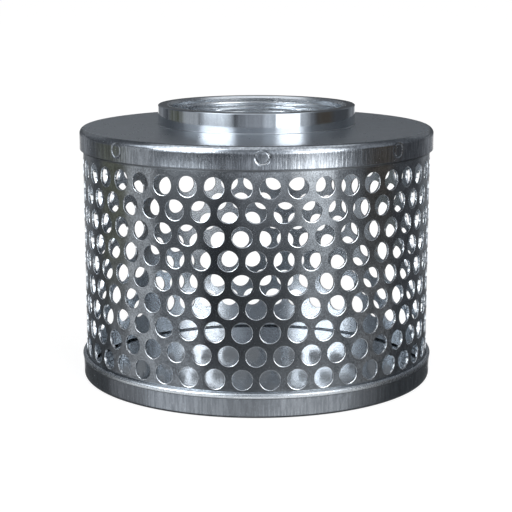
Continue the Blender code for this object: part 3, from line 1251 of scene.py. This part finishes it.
    def add_zone(
        self, shade: Shade, tone: Socket, zone: Zone, x: Socket, y: Socket, z: Socket, flat: Socket
    ) -> Socket:
        """Add one zone to the surroundings.

        Args:
            shade: The world's node tree.
            tone: The surroundings so far.
            zone: The zone.
            x: The direction's part along X.
            y: Its part along Y.
            z: Its part along Z.
            flat: Its length seen from above.

        Returns:
            The surroundings with the zone.
        """
        turn = math.radians(zone.azimuth)
        across = shade.math("ADD", shade.math("MULTIPLY", x, math.sin(turn)), shade.math("MULTIPLY", y, -math.cos(turn)))
        nearness = shade.math("DIVIDE", across, flat)
        outer = math.cos(math.radians(zone.half_width + zone.side_edge))
        inner = math.cos(math.radians(max(0.0, zone.half_width - zone.side_edge)))
        share = shade.spread(nearness, outer, inner)
        low = (math.sin(math.radians(max(-90.0, zone.low - zone.rim))), math.sin(math.radians(zone.low + zone.rim)))
        high = (math.sin(math.radians(zone.high - zone.rim)), math.sin(math.radians(zone.high + zone.rim)))
        share = shade.math("MULTIPLY", share, shade.spread(z, low[0], low[1]) if zone.low > -90 else 1.0)
        share = shade.math("MULTIPLY", share, shade.spread(z, high[0], high[1], 1.0, 0.0))
        if zone.covers:
            return shade.mix(share, tone, (*zone.light, 1.0))
        node = shade.node("ShaderNodeMix", data_type="RGBA", blend_type="ADD")
        shade.feed(node.inputs[0], share)
        shade.feed(node.inputs[6], tone)
        shade.feed(node.inputs[7], (*zone.light, 1.0))
        return node.outputs[2]

    def add_floor(self) -> None:
        """Add the pale floor, which shows white to the camera and keeps a faint shadow."""
        half = 30.0
        corners = [(-half, -half, 0.0), (half, -half, 0.0), (half, half, 0.0), (-half, half, 0.0)]
        mesh = bpy.data.meshes.new("floor")
        mesh.from_pydata(corners, [], [(0, 1, 2, 3)])
        floor = bpy.data.objects.new("floor", mesh)
        floor.location.z = -0.1 * MM
        bpy.context.scene.collection.objects.link(floor)
        material = bpy.data.materials.new("pale_floor")
        material.use_nodes = True
        material.node_tree.nodes.clear()
        shade = Shade(material.node_tree)
        share = self.shadow_share
        paint = shade.node("ShaderNodeBsdfDiffuse")
        paint.inputs["Color"].default_value = (share, share, share, 1)
        glow = shade.node("ShaderNodeEmission")
        glow.inputs["Strength"].default_value = 1.0 - share * self.room_level
        seen = shade.node("ShaderNodeAddShader")
        shade.feed(seen.inputs[0], paint.outputs[0])
        shade.feed(seen.inputs[1], glow.outputs[0])
        pale = shade.node("ShaderNodeBsdfDiffuse")
        pale.inputs["Color"].default_value = (0.8, 0.8, 0.8, 1)
        shaded = shade.node("ShaderNodeEmission")
        shaded.inputs["Color"].default_value = (0.10, 0.105, 0.11, 1)
        place = shade.node("ShaderNodeVectorMath", operation="LENGTH")
        shade.feed(place.inputs[0], shade.node("ShaderNodeTexCoord").outputs["Object"])
        near = shade.spread(place.outputs["Value"], self.contact_radius - 1.5 * MM, self.contact_radius, 1.0, 0.0)
        mirrored = shade.node("ShaderNodeMixShader")
        shade.feed(mirrored.inputs[0], near)
        shade.feed(mirrored.inputs[1], shade.node("ShaderNodeBsdfTransparent").outputs[0])
        shade.feed(mirrored.inputs[2], shaded.outputs[0])
        path = shade.node("ShaderNodeLightPath")
        polished = shade.math("MAXIMUM", path.outputs["Is Glossy Ray"], path.outputs["Is Transmission Ray"])
        other = shade.node("ShaderNodeMixShader")
        shade.feed(other.inputs[0], polished)
        shade.feed(other.inputs[1], pale.outputs[0])
        shade.feed(other.inputs[2], mirrored.outputs[0])
        choice = shade.node("ShaderNodeMixShader")
        shade.feed(choice.inputs[0], path.outputs["Is Camera Ray"])
        shade.feed(choice.inputs[1], other.outputs[0])
        shade.feed(choice.inputs[2], seen.outputs[0])
        output = shade.node("ShaderNodeOutputMaterial")
        shade.feed(output.inputs["Surface"], choice.outputs[0])
        mesh.materials.append(material)

    def build(self) -> None:
        """Add everything round the object."""
        self.add_camera()
        self.add_world()
        self.add_floor()
        target = Vector((0.0, 0.0, 0.07))
        SoftBox("left_soft_box", -48, 8, 3, 58, 1.2).build(target, self.lamp_distance)
        SoftBox("right_soft_box", 36.5, 14.2, 1, 50, 2.1).build(target, self.lamp_distance)
        bpy.context.scene.view_settings.view_transform = "Standard"


def main() -> None:
    """Build the strainer's pieces in order and the studio round them."""
    logging.basicConfig(level=logging.INFO, format="%(message)s")
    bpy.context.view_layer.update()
    sizes = Strainer()
    cap = Cap(sizes)
    pan = Pan(sizes)
    neck = Neck(cap)
    workshop = Workshop()
    inner_pale = (0.52, 0.55, 0.58)
    inner_deep = (0.44, 0.47, 0.50)
    finishes = {
        "drum": Zinc(
            "drum_zinc",
            (0.50, 0.53, 0.56),
            (0.19, 0.205, 0.22),
            0.08,
            0.15,
            1500.0,
            0.0007 * MM,
            (
                # Painted shadow: the drum is dark and dull from just under the skirt's lower edge upwards, where the
                # skirt's shadow falls.
                Area(
                    Measure.HEIGHT,
                    cap.skirt_foot - 1.5 * MM,
                    cap.skirt_foot - 0.8 * MM,
                    (0.15, 0.16, 0.17),
                    (0.10, 0.11, 0.12),
                    0.3,
                    0.4,
                ),
                # Painted highlight: the rolled edges and upper walls of the holes are much paler than the plating,
                # standing in for the bright lines along the holes' edges.
                Area(
                    Measure.RADIUS,
                    sizes.radius - 0.02 * MM,
                    sizes.radius - 0.05 * MM,
                    (0.82, 0.85, 0.88),
                    (0.74, 0.77, 0.80),
                    0.16,
                    0.24,
                    0.3,
                ),
                Area(
                    Measure.RADIUS,
                    sizes.radius - 0.6 * MM,
                    sizes.radius - 0.9 * MM,
                    inner_pale,
                    inner_deep,
                    0.17,
                    0.21,
                    0.0,
                ),
            ),
        ),
        "cap": Zinc(
            "cap_zinc",
            (0.46, 0.49, 0.525),
            (0.25, 0.27, 0.295),
            0.10,
            0.17,
            900.0,
            0.0008 * MM,
            (
                Area(
                    Measure.HEIGHT,
                    sizes.drum_top + 2.6 * MM,
                    sizes.drum_top + 2.95 * MM,
                    (0.42, 0.45, 0.485),
                    (0.37, 0.395, 0.425),
                    0.27,
                    0.32,
                ),
            ),
            sizes.drum_top + 1.0 * MM,
            1500.0,
            95.0,
            0.14 * MM,
        ),
        "pan": Zinc(
            "pan_zinc",
            (0.46, 0.49, 0.525),
            (0.25, 0.27, 0.295),
            0.13,
            0.2,
            900.0,
            0.001 * MM,
            (
                # Painted shade: a dark, dull line on the band just under the bead, where the bead's underside shades
                # it.
                Area(
                    Measure.HEIGHT,
                    pan.bead_foot - 0.45 * MM,
                    pan.bead_foot - 0.3 * MM,
                    (0.14, 0.15, 0.16),
                    (0.10, 0.11, 0.12),
                    0.35,
                    0.4,
                ),
                Area(
                    Measure.HEIGHT,
                    pan.bead_foot - 0.1 * MM,
                    pan.bead_foot + 0.1 * MM,
                    (0.50, 0.53, 0.56),
                    (0.42, 0.45, 0.48),
                    0.24,
                    0.30,
                ),
                Area(
                    Measure.RADIUS, pan.inner_wall + 0.3 * MM, pan.inner_wall, inner_pale, inner_deep, 0.10, 0.14, 0.0
                ),
            ),
            sizes.foot_tip + 3.0 * MM,
            1100.0,
            70.0,
            0.02 * MM,
        ),
        "neck": Zinc(
            "neck_zinc",
            (0.44, 0.475, 0.51),
            (0.40, 0.43, 0.465),
            0.05,
            0.09,
            700.0,
            0.0003 * MM,
            (
                # Painted shade: the rim's flat top is darker than the plating, standing in for the dark surroundings
                # that it reflects.
                Area(
                    Measure.HEIGHT,
                    neck.rim_z - 0.08 * MM,
                    neck.rim_z - 0.03 * MM,
                    (0.21, 0.225, 0.245),
                    (0.18, 0.195, 0.21),
                    0.12,
                    0.16,
                ),
                # Partly painted light: the bore and its thread are rougher than the outside, and their paler colour
                # is painted light standing in for the bright lines on the thread.
                Area(
                    Measure.RADIUS,
                    neck.thread_root + 0.6 * MM,
                    neck.thread_root + 0.3 * MM,
                    (0.60, 0.63, 0.66),
                    (0.52, 0.55, 0.58),
                    0.2,
                    0.28,
                ),
            ),
        ),
    }
    for piece in (Drum(sizes).build(), cap.build(), pan.build(), neck.build()):
        finishes[piece.name].dress(piece, workshop)
        LOG.info("%s: %d faces", piece.name, len(piece.data.polygons))
    Studio().build()


if __name__ == "__main__":
    main()
